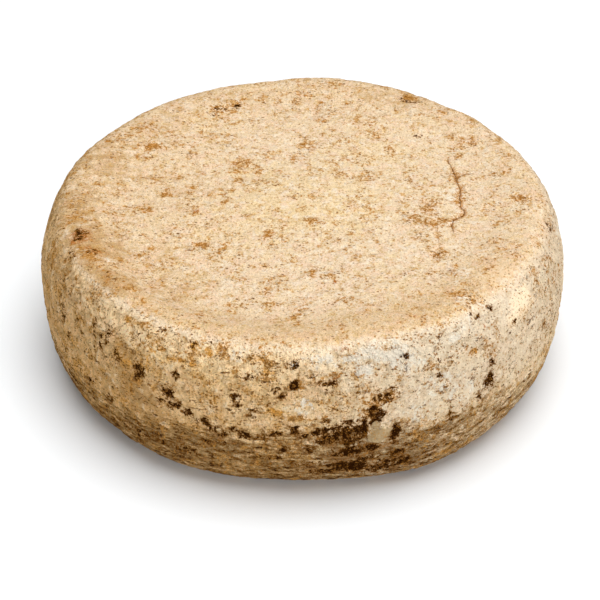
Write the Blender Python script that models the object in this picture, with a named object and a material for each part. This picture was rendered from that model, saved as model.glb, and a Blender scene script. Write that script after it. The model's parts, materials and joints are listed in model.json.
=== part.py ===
"""A small farmhouse cheese wheel with a natural rind, in metres, +Z up, front towards -Y.

One closed solid: a flat foot, bulging sides, rounded shoulders and a shallow dished top
inside a low lip. The foot stands on z = 0 and the wheel is centred on the origin.
"""

import math

import bmesh
import bpy
from mathutils import Matrix, Vector, noise

# Overall sizes of the round profile
HEIGHT = 0.0648
HALF_WIDTH = 0.0995
WIDEST_HEIGHT = 0.0300
FOOT_RADIUS = 0.0860
CREST_RADIUS = 0.0850
LOWER_FULLNESS = 2.15
UPPER_FULLNESS = 2.35

# The dish in the top: its depth and the width of the slope from the lip down to its floor
DISH_DEPTH = 0.0013
DISH_SLOPE = 0.020
LIP_AZIMUTH = -128.0
LIP_SPREAD = 75.0
LIP_EXTRA_DEPTH = 0.0022
LIP_SLOPE_CUT = 0.008
LIP_RISE = 0.0008
CROWN_RISE = 0.0008
CROWN_RADIUS = 0.045

# Waves round the outline: how many, how far out, and the azimuth of a peak
OUTLINE_WAVES = ((2, 0.00040, 0.0), (3, 0.00030, -50.0), (5, 0.00025, 20.0))
RIM_WAVES = ((2, 0.00040, -40.0), (3, 0.00030, 70.0), (5, 0.00020, -150.0))

# Flats and swellings in the side: azimuth, spread, height, height spread, how far out
SIDE_PUSHES = (
    (-88.0, 26.0, 0.002, 0.026, -0.0015),
    (-60.0, 22.0, 0.004, 0.026, 0.0006),
    (-118.0, 24.0, 0.006, 0.026, 0.0008),
    (96.0, 34.0, 0.064, 0.030, -0.0008),
    (50.0, 11.0, 0.062, 0.026, -0.0016),
    (180.0, 24.0, 0.036, 0.016, 0.0006),
    (8.0, 22.0, 0.050, 0.022, -0.0008),
)

# A worn notch on the far side of the shoulder
NOTCH_AZIMUTH = 60.0
NOTCH_SPREAD = 9.0
NOTCH_RADIUS = 0.0870
NOTCH_WIDTH = 0.0060
NOTCH_DEPTH = 0.0010

# Soft lumps left by the cloth and the shelf
LUMP_DEPTH = 0.0008
LUMP_WIDTH = 0.030
LUMP_PLACE = Vector((3.1, 7.4, 1.8))
FINE_LUMP_DEPTH = 0.0004
FINE_LUMP_WIDTH = 0.013
FOOT_FADE = 0.006

# How finely the surface is divided
STEPS_AROUND = 104
SIDE_STEPS = 8
SHOULDER_STEPS = 9
SLOPE_STEPS = 9
FLOOR_STEPS = 6

RIND_COLOUR = (0.60, 0.43, 0.24, 1.0)
RIND_ROUGHNESS = 0.75


def profile():
    """Half outline as (radius, height), from the edge of the foot up to the centre of the top."""
    points = []
    side_swell = HALF_WIDTH - FOOT_RADIUS
    for step in range(SIDE_STEPS):
        turn = 0.5 * math.pi * step / SIDE_STEPS
        radius = FOOT_RADIUS + side_swell * math.sin(turn) ** (2.0 / LOWER_FULLNESS)
        height = WIDEST_HEIGHT * (1.0 - math.cos(turn) ** (2.0 / LOWER_FULLNESS))
        points.append((radius, height))
    shoulder = HALF_WIDTH - CREST_RADIUS
    rise = HEIGHT - WIDEST_HEIGHT
    for step in range(SHOULDER_STEPS + 1):
        turn = 0.5 * math.pi * step / SHOULDER_STEPS
        radius = CREST_RADIUS + shoulder * max(0.0, math.cos(turn)) ** (2.0 / UPPER_FULLNESS)
        height = WIDEST_HEIGHT + rise * math.sin(turn) ** (2.0 / UPPER_FULLNESS)
        points.append((radius, height))
    for step in range(1, SLOPE_STEPS + 1):
        points.append((CREST_RADIUS - DISH_SLOPE * step / SLOPE_STEPS, HEIGHT))
    floor_radius = CREST_RADIUS - DISH_SLOPE
    for step in range(1, FLOOR_STEPS + 1):
        points.append((floor_radius * (1.0 - step / FLOOR_STEPS), HEIGHT))
    return points


def ease(amount):
    """0 to 1 with a soft start and a soft end."""
    amount = min(1.0, max(0.0, amount))
    return amount * amount * (3.0 - 2.0 * amount)


def beside(azimuth, centre, spread):
    """1 at an azimuth in degrees, easing to 0 a spread away from it."""
    apart = abs((azimuth - centre + 180.0) % 360.0 - 180.0)
    return ease(1.0 - apart / spread)


def waves(azimuth, table):
    return sum(size * math.cos(math.radians(count * (azimuth - peak))) for count, size, peak in table)


def side_push(azimuth, height):
    total = 0.0
    for centre, spread, level, level_spread, push in SIDE_PUSHES:
        near = ease(1.0 - abs(height - level) / level_spread)
        total += push * near * beside(azimuth, centre, spread)
    return total


def lumps(place, width, offset):
    return noise.noise((place / width) + offset)


def shape_top(radius, azimuth):
    """Height added to the flat top: the dish, its lip, and the slight crown in its middle."""
    lip = beside(azimuth, LIP_AZIMUTH, LIP_SPREAD)
    depth = DISH_DEPTH + LIP_EXTRA_DEPTH * lip
    slope = DISH_SLOPE - LIP_SLOPE_CUT * lip
    dish = -depth * ease((CREST_RADIUS - radius) / slope)
    rim = LIP_RISE * lip * ease((radius - CREST_RADIUS + slope) / slope)
    crown = CROWN_RISE * ease(1.0 - radius / CROWN_RADIUS)
    recovery = 0.6 * LIP_EXTRA_DEPTH * lip * ease((CREST_RADIUS - slope - radius) / CROWN_RADIUS)
    return dish + rim + crown + recovery


def shape_notch(radius, azimuth):
    near = ease(1.0 - abs(radius - NOTCH_RADIUS) / NOTCH_WIDTH)
    return -NOTCH_DEPTH * near * beside(azimuth, NOTCH_AZIMUTH, NOTCH_SPREAD)


def shaped(point, normal):
    """Where a point of the round body goes once the wheel is uneven."""
    radius = math.hypot(point.x, point.y)
    azimuth = math.degrees(math.atan2(point.y, point.x))
    up_share = ease((point.z - WIDEST_HEIGHT) / (HEIGHT - WIDEST_HEIGHT))
    push = waves(azimuth, OUTLINE_WAVES) + side_push(azimuth, point.z)
    widen = 1.0 + push / HALF_WIDTH * ease(radius / FOOT_RADIUS)
    moved = Vector((point.x * widen, point.y * widen, point.z))
    moved.z += up_share * waves(azimuth, RIM_WAVES) * ease(radius / CREST_RADIUS)
    moved.z += up_share * (shape_top(radius, azimuth) + shape_notch(radius, azimuth))
    swell = LUMP_DEPTH * lumps(point, LUMP_WIDTH, LUMP_PLACE)
    swell += FINE_LUMP_DEPTH * lumps(point, FINE_LUMP_WIDTH, -LUMP_PLACE)
    return moved + normal * swell * ease(point.z / FOOT_FADE)


def build_wheel(name):
    body = bmesh.new()
    outline = [body.verts.new((radius, 0.0, height)) for radius, height in profile()]
    edges = [body.edges.new(pair) for pair in zip(outline, outline[1:])]
    bmesh.ops.spin(
        body,
        geom=outline + edges,
        cent=(0.0, 0.0, 0.0),
        axis=(0.0, 0.0, 1.0),
        angle=2.0 * math.pi,
        steps=STEPS_AROUND,
        use_merge=True,
    )
    bmesh.ops.remove_doubles(body, verts=body.verts, dist=1e-6)
    bmesh.ops.holes_fill(body, edges=[edge for edge in body.edges if edge.is_boundary], sides=0)
    bmesh.ops.recalc_face_normals(body, faces=body.faces)
    body.normal_update()
    places = [shaped(vert.co.copy(), vert.normal.copy()) for vert in body.verts]
    for vert, place in zip(body.verts, places):
        vert.co = place
    centre_on_origin(body)
    mesh = bpy.data.meshes.new(name)
    body.to_mesh(mesh)
    body.free()
    for polygon in mesh.polygons:
        polygon.use_smooth = len(polygon.vertices) <= 4
    wheel = bpy.data.objects.new(name, mesh)
    bpy.context.scene.collection.objects.link(wheel)
    return wheel


def centre_on_origin(body):
    """Puts the middle of the bounding box over the origin, with the foot on z = 0."""
    low = Vector([min(vert.co[axis] for vert in body.verts) for axis in range(3)])
    high = Vector([max(vert.co[axis] for vert in body.verts) for axis in range(3)])
    middle = (low + high) / 2.0
    shift = Matrix.Translation((-middle.x, -middle.y, -low.z))
    bmesh.ops.transform(body, matrix=shift, verts=body.verts)


def rind_material():
    material = bpy.data.materials.new("rind")
    material.use_nodes = True
    shader = material.node_tree.nodes["Principled BSDF"]
    shader.inputs["Base Color"].default_value = RIND_COLOUR
    shader.inputs["Roughness"].default_value = RIND_ROUGHNESS
    shader.inputs["Metallic"].default_value = 0.0
    material.diffuse_color = RIND_COLOUR
    return material


for leftover in list(bpy.data.objects):
    bpy.data.objects.remove(leftover, do_unlink=True)

cheese = build_wheel("cheese_wheel")
cheese.data.materials.append(rind_material())
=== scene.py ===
import json
import math
import bmesh
import bpy
import numpy as np
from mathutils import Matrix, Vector, noise

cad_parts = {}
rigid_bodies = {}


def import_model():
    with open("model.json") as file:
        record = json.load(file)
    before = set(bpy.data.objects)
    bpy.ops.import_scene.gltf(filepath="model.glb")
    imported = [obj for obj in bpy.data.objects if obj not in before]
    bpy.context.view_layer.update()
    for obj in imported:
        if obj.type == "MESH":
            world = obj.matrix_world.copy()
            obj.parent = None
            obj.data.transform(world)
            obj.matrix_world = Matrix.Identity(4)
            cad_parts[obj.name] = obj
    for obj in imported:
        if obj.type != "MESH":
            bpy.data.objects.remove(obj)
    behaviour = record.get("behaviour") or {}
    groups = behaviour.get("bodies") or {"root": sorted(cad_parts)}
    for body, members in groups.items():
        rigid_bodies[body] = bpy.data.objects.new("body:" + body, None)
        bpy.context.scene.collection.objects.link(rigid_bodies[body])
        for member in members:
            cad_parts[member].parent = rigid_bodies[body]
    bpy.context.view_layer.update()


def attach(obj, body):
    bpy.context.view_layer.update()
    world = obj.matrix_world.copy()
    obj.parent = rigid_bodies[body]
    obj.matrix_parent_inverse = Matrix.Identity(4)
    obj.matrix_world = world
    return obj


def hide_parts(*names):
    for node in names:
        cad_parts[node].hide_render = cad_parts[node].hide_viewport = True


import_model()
print("frame loaded")

mm = 0.001


# places are (x, y) in mm on the top and the underside, and (azimuth in degrees, height in mm) on the side

wheelRind = {
    "node": "cheese_wheel",
    "cell": 1.10 * mm,        # size of the mesh's faces
    "weld": 1e-6,             # the solid's points nearer than this are one
    "relaxRounds": 16,        # takes the flats out of the solid's facets
    "footFlat": 0.45 * mm,    # lower than this the underside is pressed flat
    "footPress": 0.2,         # how much of its unevenness the pressed foot keeps
    "footFade": 5.0 * mm,     # relief fades out towards the foot
    "radius": 100.0,          # in mm, where the side bulges most
    "sideFrom": 84.0,         # in mm, nearer the middle than this is not the side
    "topFrom": 40.0,          # in mm, a level place higher than this is the top
}

relief = {
    "swell": (15.0, 0.22),        # size and depth in mm of each kind of unevenness
    "wrinkle": (5.2, 0.54),
    "crumple": (2.9, 0.42),
    "grain": (1.9, 0.10),
    "pits": (5.5, 0.45),
    "topShare": 0.62,             # the top was pressed smoother than the side
    "streak": 2.2,                # how much longer along x the wrinkles of the top are
    "creaseBend": (1.6, 0.45),    # size and depth of the bends in a crease, in shares of its size
    "creaseNarrow": 2.6,
    "smoothing": 0.85,            # how much of it waxy places and the island lose
    "mouldDepth": 0.38,
    "chalkRise": 0.22,
    "islandRise": 0.35,
}

patchWarp = ((0.45, 4.0, 31), (0.35, 1.9, 37))     # ragged edges: strength, size, seed
patchEdge = (1.45, 0.35)                           # a patch fades from this many half widths to this many
bruiseEdge = (3.2, 0.6)                            # the brown bruise round dark mould

# each patch: where, half length, half width, turn in degrees, strength
patches = {
    "mould": {
        "side": [
            # the black cluster round the smooth island, and its field of crumbs
            (-75.9, 40, 2.6, 3.0, 0, 0.72), (-74.3, 37.8, 1.8, 2.8, 0, 1.2), (-74.9, 34.2, 1.7, 1.4, 0, 1.2),
            (-77.6, 32, 1.7, 4.4, 0, 1.3), (-70.9, 28.2, 1.9, 3.6, -14, 1.2), (-75.6, 23.2, 2.9, 1.3, 0, 1.3),
            (-82.2, 32, 9.0, 2.8, 0, 1.0), (-83.4, 29.2, 6.0, 2.2, 0, 0.85), (-80.1, 22.4, 6.0, 2.0, 0, 1.15),
            (-79.6, 25.5, 4.0, 2.6, 0, 0.7), (-79.6, 14.2, 7.4, 2.6, 0, 1.3), (-84.0, 12, 7.0, 1.4, 0, 0.9),
            (-76.5, 18, 6.0, 1.6, 0, 0.7), (-80.3, 37, 1.8, 1.2, 0, 0.95), (-78.9, 34.4, 2.2, 2.4, 0, 0.62),
            (-84.7, 37.2, 3.0, 0.9, 0, 0.75), (-79.8, 27.5, 4.6, 1.4, 0, 0.7), (-73.0, 15, 4.0, 1.6, 0, 0.66),
            (-90.0, 17, 7.0, 1.4, 0, 0.55), (-86.2, 32.2, 3.6, 1.6, 0, 1.1), (-84.0, 30.4, 4.6, 2.4, 0, 1.15),
            (-86.0, 28.6, 3.0, 1.2, 0, 0.8), (-81.2, 22.8, 5.2, 1.5, 0, 1.15), (-78.4, 12.4, 7.0, 2.6, 0, 1.25),
            (-82.4, 15.4, 5.0, 1.6, 0, 1.0), (-85.4, 10.4, 5.0, 1.2, 0, 1.0), (-79.0, 30.0, 3.4, 1.6, 0, 0.7),
            (-71.0, 18.4, 4.4, 1.6, 8, 0.75), (-68.2, 13.4, 4.6, 1.8, 10, 0.85), (-71.6, 13.6, 5.0, 2.2, 4, 1.0),
            (-73.5, 10.4, 6.0, 2.2, 0, 1.0), (-74.6, 9.6, 5.0, 1.6, 0, 0.9),
            # faint marks round on the left
            (-139.5, 48.5, 1.0, 4.4, 10, 0.45), (-127.0, 57.6, 1.6, 0.9, 20, 0.6),
            (-122.6, 61.2, 1.6, 0.8, 30, 0.7), (-142.6, 38.0, 1.4, 1.4, 0, 0.6), (-152.0, 44.0, 1.2, 3.4, 0, 0.5),
            (-141.0, 27.0, 2.2, 1.4, 0, 0.6), (-134.6, 24.6, 2.2, 1.4, 0, 0.7),
            # the line of crumbs low on the left
            (-91.3, 34, 1.8, 2.0, 0, 0.95), (-89.7, 31.3, 1.8, 1.2, 0, 0.9), (-87.1, 32.4, 1.6, 1.3, 0, 0.95),
            (-88.1, 25, 2.1, 1.7, 0, 0.75), (-95.5, 31, 2.2, 1.3, 0, 0.85), (-98.0, 29.4, 2.4, 1.2, 0, 0.9),
            (-101.9, 29.6, 2.6, 1.7, 0, 1.2), (-104.1, 31.6, 2.2, 1.3, 0, 0.85),
            (-106.5, 28.8, 2.8, 1.6, -20, 0.95), (-108.4, 30.7, 2.1, 1.5, -20, 0.95),
            (-110.1, 33, 2.1, 1.3, -20, 1.1), (-111.7, 32.2, 2.3, 1.2, -10, 0.8),
            (-114.0, 34.6, 2.0, 1.5, -20, 0.85), (-109.7, 23.2, 2.3, 1.2, -10, 0.8),
            (-106.2, 24, 2.3, 1.5, 0, 0.75), (-93.4, 24.4, 2.9, 1.7, 0, 0.8), (-114.9, 16.5, 4.9, 2.0, -8, 0.62),
            (-124.7, 16.4, 3.7, 2.0, -10, 0.6), (-128.2, 15.4, 4.9, 1.6, -14, 0.6),
            (-120.7, 17.4, 3.7, 1.7, -12, 0.55), (-98.0, 19, 6.1, 1.5, 0, 0.5),
            # single marks, left to right
            (-137.4, 45.5, 1.3, 3.4, 0, 0.62), (-135.6, 51.5, 2.0, 3.2, 0, 0.62), (-132.2, 46.6, 2.2, 2.6, 0, 0.80),
            (-125.6, 46.2, 3.4, 1.6, -40, 0.60), (-125.8, 42.8, 1.3, 1.8, 0, 0.66),
            (-118.6, 40.0, 2.8, 2.4, 0, 1.2), (-120.1, 36.4, 2.3, 1.3, 0, 1.0), (-117.6, 35.8, 1.3, 1.5, 0, 0.9),
            (-116.2, 37, 1.5, 1.2, 0, 1.0), (-117.0, 49.9, 1.4, 2.4, 0, 0.42), (-114.6, 60.4, 1.6, 2.0, 0, 0.40),
            (-110.3, 62.6, 2.2, 1.3, 0, 0.5), (-102.9, 46.6, 2.3, 2.2, 0, 0.72), (-103.1, 42, 1.2, 1.8, 0, 1.0),
            (-102.0, 53.4, 1.7, 1.2, 0, 0.95), (-100.4, 53.8, 1.6, 1.1, 0, 0.7), (-95.2, 49.9, 2.2, 1.3, 14, 0.9),
            (-94.1, 48.4, 1.8, 1.1, 0, 0.85), (-91.4, 59, 2.1, 1.6, 0, 0.85), (-91.6, 52.2, 1.7, 1.7, 30, 0.95),
            (-100.2, 41.4, 2.0, 1.1, 0, 0.8), (-100.4, 38.4, 2.6, 1.0, 0, 0.62), (-84.8, 52.4, 2.9, 2.1, 0, 0.95),
            (-72.1, 44.1, 2.3, 2.6, 0, 0.62), (-74.0, 44.4, 1.6, 1.5, 0, 0.6), (-71.2, 47.3, 1.3, 0.9, 10, 0.8),
            (-67.5, 58, 1.6, 1.5, 0, 0.62), (-60.5, 53.2, 1.1, 1.2, 0, 0.5), (-60.8, 48, 1.0, 2.3, 0, 0.5),
            (-48.7, 35.7, 2.1, 4.3, -20, 1.2), (-50.8, 31.4, 1.6, 1.2, 0, 0.7), (-52.9, 41.6, 1.0, 1.6, -20, 0.6),
            (-47.3, 44, 1.6, 2.2, -30, 0.55), (-68.5, 54.6, 1.0, 1.4, 0, 0.75), (-59.2, 61, 1.0, 0.8, 0, 0.8),
            (-58.6, 28.6, 1.0, 1.8, 0, 0.5), (-39.1, 53, 1.2, 1.6, 0, 0.7), (-10.0, 61, 1.6, 1.7, 0, 0.7),
            (-157, 63.5, 2.9, 2.0, 0, 0.3),
            # the sides and the back
            (20, 34, 4.0, 3.0, 0, 0.8), (62, 26, 7.0, 3.4, 8, 0.9), (70, 33, 3.6, 3.0, 0, 0.8),
            (101, 44, 3.0, 3.4, 0, 0.7), (133, 20, 8.0, 3.0, -6, 0.9), (139, 27, 3.6, 3.6, 0, 0.8),
            (166, 40, 2.6, 4.0, 0, 0.7), (-8, 24, 5.0, 2.6, 0, 0.6), (172, 18, 6.0, 2.4, 0, 0.7),
            (45, 47, 1.6, 1.4, 0, 0.8), (84, 50, 2.2, 1.2, 0, 0.8), (117, 33, 1.8, 1.8, 0, 0.9),
            (152, 50, 2.4, 1.4, 0, 0.7), (-170, 30, 2.4, 2.0, 0, 0.8), (8, 44, 1.6, 1.6, 0, 0.7),
        ],
        "top": [
            (-82, -25.3, 2.6, 3.4, 0, 0.56), (-76.9, -36, 2.2, 1.1, -40, 0.5), (-71.5, -42.6, 1.8, 1.0, -20, 0.6),
            (-70, -48.6, 1.4, 1.0, -40, 0.5), (-66.5, -52.6, 1.2, 1.2, 0, 0.6), (-26.1, 66.3, 1.2, 1.1, 0, 0.8),
            (-32.8, 64.1, 2.2, 1.6, 0, 0.55), (-35.1, 59.3, 1.2, 1.2, 0, 0.6), (58.8, -65, 1.6, 2.0, 40, 0.55),
            (58.8, -71.2, 0.8, 1.0, 0, 0.9), (61.6, -70.4, 0.7, 1.2, 0, 0.8), (66.3, -65.2, 1.2, 0.8, 0, 0.55),
            (49.2, -36.4, 1.6, 1.3, 0, 0.55), (45.4, 45.1, 1.3, 1.3, 0, 0.6), (44.6, 68.6, 5.4, 0.8, -22, 0.50),
            (39.6, 72.6, 1.4, 1.4, 0, 0.45), (36.6, -48.8, 1.1, 0.9, 0, 0.6), (91, -13.6, 1.0, 1.2, 0, 0.6),
            (-69.9, 3.2, 1.6, 0.9, 0, 0.5), (76.2, -36.5, 1.6, 1.2, -30, 0.5),
        ],
        "under": [
            (-30, 20, 12, 7, 30, 0.7), (35, -30, 9, 6, -20, 0.7), (20, 48, 7, 5, 0, 0.6), (-50, -35, 8, 5, 40, 0.7),
        ],
    },
    "ochre": {
        "top": [
            # the left half
            (-51.6, 5, 3.0, 3.6, 0, 1.0), (-52.6, 11, 3.4, 2.0, 0, 0.7), (-48, 15.4, 2.4, 1.2, -30, 0.6),
            (-42.5, 8.3, 3.6, 3.0, 0, 0.6), (-23.4, 24.2, 4.0, 4.0, 0, 1.0), (-33.3, 18.6, 2.6, 2.6, 0, 0.75),
            (-17.6, 19, 3.6, 3.0, 0, 0.6), (-40.5, -7.4, 2.0, 2.4, 0, 1.0), (-36.4, -9.7, 1.6, 1.4, 0, 0.7),
            (-29.6, -3.2, 1.6, 4.0, 10, 0.85), (-57.6, -5.9, 3.4, 2.0, 0, 0.85), (-51.7, -10, 1.6, 2.0, 0, 0.7),
            (-44, -26.4, 2.4, 1.6, 0, 0.8), (-37, -26.6, 4.6, 1.7, 0, 1.0), (-54, -29.4, 4.0, 1.4, -18, 0.85),
            (-12.4, -21.5, 2.2, 4.6, 0, 0.85), (-11, -10, 2.2, 3.6, 0, 0.55), (-0.6, -7, 1.8, 2.6, 0, 0.55),
            (4, -14, 3.0, 0.9, 6, 0.6), (-75.2, 9.2, 4.2, 1.5, -8, 0.75), (-69.9, 3.6, 2.6, 1.5, -20, 0.7),
            (-32.8, 64.5, 5.4, 4.0, 0, 0.8), (-27, 68, 7.0, 3.0, 0, 0.6), (-18.7, 35.9, 1.4, 1.2, 0, 0.9),
            (3.2, 37.6, 5.0, 3.0, 0, 0.6), (-12, 36, 4.0, 3.0, 0, 0.5), (7, 68, 2.0, 4.0, 0, 0.6),
            (-80.5, -30, 4.4, 8.0, 20, 0.60), (-75, -39.4, 4.4, 2.4, -40, 0.80), (-66.4, -52, 2.4, 1.8, -40, 0.85),
            (-56.8, -64.7, 1.8, 2.4, 0, 0.85), (-47.8, -69, 3.4, 1.2, -14, 0.7), (-40, -57, 4.6, 0.9, -40, 0.6),
            (-23.5, -63.2, 4.6, 1.2, -4, 0.7), (-20, -57.3, 1.8, 1.3, 0, 0.7), (-11.2, -57.2, 2.0, 3.0, 0, 0.55),
            (-20.5, -41, 4.6, 1.9, 0, 0.6), (-14, -17, 1.8, 2.2, 0, 0.6), (-64, 44, 9.0, 5.0, 40, 0.5),
            (-79.5, -33, 7.5, 1.3, -62, 0.8), (-70, -48, 7.0, 1.2, -54, 0.75), (-61.5, -59, 7.0, 1.2, -50, 0.7),
            (-51, -69.5, 7.0, 1.1, -42, 0.7), (-40, -77.4, 6.5, 1.1, -34, 0.65),
            # the right half
            (33.3, 36.4, 2.8, 2.4, 0, 1.0), (28, 50, 5.0, 6.0, 0, 0.6), (18, 53, 3.0, 3.0, 0, 0.5),
            (66, 40, 6.0, 5.0, 0, 0.75), (60, 33, 3.0, 4.0, 0, 0.55), (72, 16, 4.0, 1.8, 0, 0.6),
            (66, 14, 3.0, 2.0, 0, 0.5), (47.8, -5.6, 4.6, 6.6, 0, 0.9), (49, -15.6, 4.2, 3.2, 0, 0.70),
            (41, -12.3, 3.4, 3.0, 0, 0.5), (50, -22.4, 1.7, 4.6, 0, 0.7), (49.2, -35.6, 3.2, 2.4, 0, 0.9),
            (26.2, -11.3, 4.6, 4.0, 0, 0.5), (18, -2, 4.0, 4.0, 0, 0.4), (72.5, -5, 6.0, 3.0, 0, 0.75),
            (80.6, 0, 2.4, 4.0, 30, 0.9), (72.8, -33.1, 3.4, 1.8, -10, 0.9), (76.4, -36.8, 2.4, 2.0, -20, 0.9),
            (86, -29, 1.5, 2.4, 0, 0.8), (84.3, -42, 3.0, 2.4, 0, 0.75), (45.3, -47, 3.6, 3.0, 0, 0.8),
            (65, -49.5, 2.0, 4.0, 0, 0.65), (58.6, -65, 4.0, 4.2, 40, 0.85), (53.6, -62.4, 4.0, 3.0, 0, 0.8),
            (38, -74.4, 3.4, 2.0, -30, 0.9), (11.4, -50.4, 1.8, 4.2, 0, 0.8), (24, -70, 1.5, 1.1, 0, 0.7),
            (42, 72, 6.0, 2.6, -20, 0.8), (56, 58, 8.0, 3.0, -40, 0.5), (70, -56, 6.0, 4.0, 0, 0.45),
            (14.9, -87.6, 5.0, 1.2, 0, 0.7), (60, 4, 1.6, 12.0, 0, 0.4), (43, 20, 4.0, 6.0, 0, 0.45),
            (-60, 34, 10.0, 5.0, 10, 0.35), (5, -62, 12.0, 3.0, 0, 0.35), (20, 12, 10.0, 6.0, 0, 0.35),
        ],
        "side": [
            (-118.3, 53, 2.4, 2.8, 0, 0.6), (-114.2, 60.2, 3.4, 3.6, 0, 0.6), (-111.6, 62.4, 2.8, 2.0, 0, 0.5),
            (-110.3, 60, 1.5, 1.8, 0, 0.6), (-114.4, 54.4, 4.6, 1.3, 0, 0.45), (-106.4, 60.5, 5.0, 3.0, 0, 0.66),
            (-104, 56, 2.4, 4.0, 0, 0.6), (-98, 60, 4.0, 2.4, 0, 0.5), (-95.4, 41, 2.8, 1.7, 0, 1.0),
            (-97, 54, 5.0, 1.1, 4, 0.7), (-91.2, 51.6, 2.6, 2.6, 0, 0.66), (-89, 38.6, 9.0, 1.1, 2, 0.7),
            (-84.2, 54.4, 4.2, 0.9, 8, 0.85), (-52, 51.6, 2.6, 1.6, 0, 1.0), (-67.5, 58, 2.0, 1.8, 0, 0.8),
            (-62.4, 52.6, 2.8, 1.4, 20, 0.62), (-125.5, 46, 3.4, 4.0, -30, 0.55), (-131.5, 48, 3.4, 4.0, 0, 0.5),
            (-127, 40, 5.0, 6.0, 0, 0.5), (-118, 40, 4.4, 4.0, 0, 0.6), (-72, 44.2, 3.4, 3.6, 0, 0.66),
            (-76, 41, 4.4, 4.4, 0, 0.7), (-122, 57, 6.0, 3.0, 0, 0.45), (-33, 57.5, 3.0, 2.0, 0, 0.5),
            (-131, 60.5, 3.0, 1.6, 0, 0.8), (-140, 56, 6.0, 4.0, 0, 0.35), (-150, 58, 6.0, 4.0, 0, 0.40),
            (-165, 58, 6.0, 4.0, 0, 0.40), (-45, 51, 3.0, 3.0, 0, 0.5), (-57, 38, 4.0, 4.0, 0, 0.4),
            (10, 52, 8, 5, 0, 0.6), (40, 50, 9, 5, 0, 0.6), (80, 48, 8, 5, 0, 0.7), (120, 52, 9, 4, 0, 0.6),
            (150, 50, 8, 5, 0, 0.6),
        ],
        "under": [(0, 0, 22, 12, 20, 0.5), (45, 20, 14, 9, 0, 0.5), (-20, -45, 16, 8, 0, 0.5)],
    },
    "orange": {
        "side": [
            (-113.5, 60.5, 2.4, 2.8, 0, 1.0), (-110.0, 59.4, 2.2, 2.0, 0, 1.0), (-114.6, 54.2, 4.6, 1.3, 0, 1.0),
            (-118.0, 54.4, 2.0, 2.4, 0, 0.9), (-112.0, 63.0, 1.8, 1.2, 0, 0.9), (-95.4, 41.0, 2.6, 1.4, 0, 1.0),
            (-124.0, 50.0, 2.4, 2.0, -30, 0.9), (-129.6, 46.4, 2.8, 2.0, -20, 0.9),
            (-134.0, 51.0, 1.8, 2.2, 0, 0.8), (-123.0, 54.0, 1.4, 1.0, 0, 0.8), (-123.6, 61.0, 1.6, 1.0, 0, 0.8),
            (-131.0, 60.4, 1.8, 1.2, 0, 0.8), (-96.8, 56.0, 2.2, 1.0, 0, 0.7), (-52.0, 51.4, 2.0, 1.0, 0, 0.7),
            (-86.4, 37.6, 4.0, 0.8, 0, 0.7), (40, 52, 2.4, 1.8, 0, 0.8), (95, 50, 3.0, 1.6, 0, 0.8),
            (142, 54, 2.4, 2.0, 0, 0.8),
        ],
    },
    "crumbs": {
        "side": [
            (-97, 50, 12, 9, 0, 0.50), (-102, 42, 8, 7, 0, 0.50), (-86, 60, 9, 4, 0, 0.50),
            (-83, 45, 10, 8, 0, 0.35), (-72, 44, 8, 6, 0, 0.50), (-60, 47, 9, 10, 0, 0.38),
            (-49, 39, 6, 8, 0, 0.65), (-110, 30, 10, 5, -12, 0.6), (-95, 28, 12, 5, 0, 0.60),
            (-82, 27, 10, 9, 0, 0.80), (-128, 44, 7, 8, 0, 0.45), (-137, 50, 6, 8, 0, 0.50),
            (-150, 45, 7, 12, 0, 0.40), (-58, 26, 12, 5, 8, 0.60), (-40, 34, 9, 8, 0, 0.35),
            (-20, 40, 16, 12, 0, 0.40), (15, 36, 18, 12, 0, 0.55), (45, 44, 16, 8, 0, 0.45),
            (66, 32, 16, 12, 0, 0.70), (98, 42, 16, 10, 0, 0.55), (136, 30, 16, 14, 0, 0.70),
            (165, 40, 14, 12, 0, 0.55), (-172, 28, 12, 8, 0, 0.50),
        ],
        "top": [(-84, -20, 7, 14, 0, 0.35), (-62, -56, 12, 5, -40, 0.35), (62, -66, 8, 6, 20, 0.30)],
    },
    "tawny": {
        "side": [
            (-150, 58, 14, 10, 0, 0.55), (-162, 60, 12, 7, 0, 0.35), (-138, 56, 12, 9, 0, 0.35),
            (-127.5, 37, 9, 9, 0, 1.0), (-130, 47, 6, 6, 0, 0.90), (-122, 28, 10, 7, 0, 0.80),
            (-112, 24, 12, 6, 0, 0.55), (-137, 30, 12, 12, 0, 0.55), (-116, 47, 5, 7, 0, 0.45),
            (-103, 37, 9, 7, 0, 0.35), (-178, 56, 16, 9, 0, 0.35), (150, 52, 20, 9, 0, 0.50),
            (110, 40, 24, 12, 0, 0.50), (60, 36, 20, 10, 0, 0.40), (20, 34, 20, 10, 0, 0.35),
        ],
        "top": [
            (-78, -30, 13, 17, 20, 0.95), (-70, -52, 13, 8, -42, 0.85), (-84, -6, 10, 18, 0, 0.75),
            (-76, 24, 12, 22, 30, 0.70), (-58, 50, 24, 12, 42, 0.45), (-46, -52, 16, 12, -20, 0.45),
            (-50, -30, 16, 10, 0, 0.35), (-50, 8, 20, 16, 0, 0.35), (-26, 72, 22, 7, 0, 0.45),
            (38, 70, 22, 7, -18, 0.55), (6, 78, 16, 5, 0, 0.35), (62, 50, 16, 9, -42, 0.35),
        ],
    },
    "chalk": {
        "side": [
            (-73, 60.6, 12.0, 3.6, -4, 1.0), (-76.8, 56.4, 3.4, 3.0, 0, 1.1), (-68, 56, 7.0, 5.0, 0, 0.7),
            (-86, 60, 9.0, 3.0, 0, 0.55), (-55, 60.5, 10.0, 2.8, 12, 0.6), (-60, 44, 10.0, 6.0, 0, 0.45),
            (-90, 43.5, 5.0, 3.4, 0, 0.5), (-104, 60, 7.0, 3.0, 0, 0.22), (-56, 38, 6.0, 4.5, 0, 0.5),
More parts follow.
